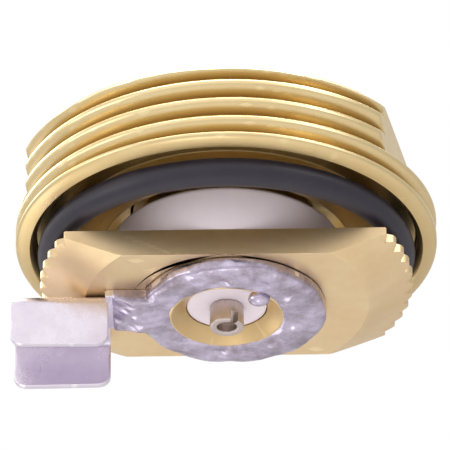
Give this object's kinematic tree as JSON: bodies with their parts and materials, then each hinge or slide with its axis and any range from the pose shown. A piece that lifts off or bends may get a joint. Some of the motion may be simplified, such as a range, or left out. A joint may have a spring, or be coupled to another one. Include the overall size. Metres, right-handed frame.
{
  "type": "vehicle antenna mount",
  "caption": "Brass through-roof antenna mount: toothed clamping bar with a threaded neck, a screw-on threaded ring nut with seal, insulated centre contact and a solder lug with a cable clip.",
  "frame": {"origin": "on the axis, in the plane of the ring nut's underside, which is the roof's outer surface", "axes": "+Z along the axis out of the roof, towards the antenna; -X towards the cable clip"},
  "size_m": [0.0288, 0.0286, 0.0144],
  "materials": {
    "brass_body": "machined",
    "brass_ring": "machined",
    "white_plastic": "moulded",
    "rubber": "satin",
    "tinned": "tin plated",
    "solder": "soldered"
  },
  "bodies": {
    "base": {"base_body": "brass_body", "neck_collar": "white_plastic", "top_insulator": "white_plastic", "lower_insulator": "white_plastic", "centre_contact": "tinned", "solder_lug": "tinned", "solder_fillet": "solder"},
    "seal": {"o_ring": "rubber"},
    "ring": {"ring_nut": "brass_ring"}
  },
  "joints": [
    {"name": "ring_rise", "type": "slide", "parent": "base", "child": "seal", "axis": [0, 0, 1], "range_m": [-0.00054, 0.00215]},
    {"name": "ring_turn", "type": "hinge", "parent": "seal", "child": "ring", "pos_m": [0, 0, 0], "axis": [0, 0, 1], "range_deg": [-180, 720]}
  ],
  "couplings": [
    {"joint": "ring_rise", "follows": "ring_turn", "m_per_rad": 0.00016844}
  ]
}
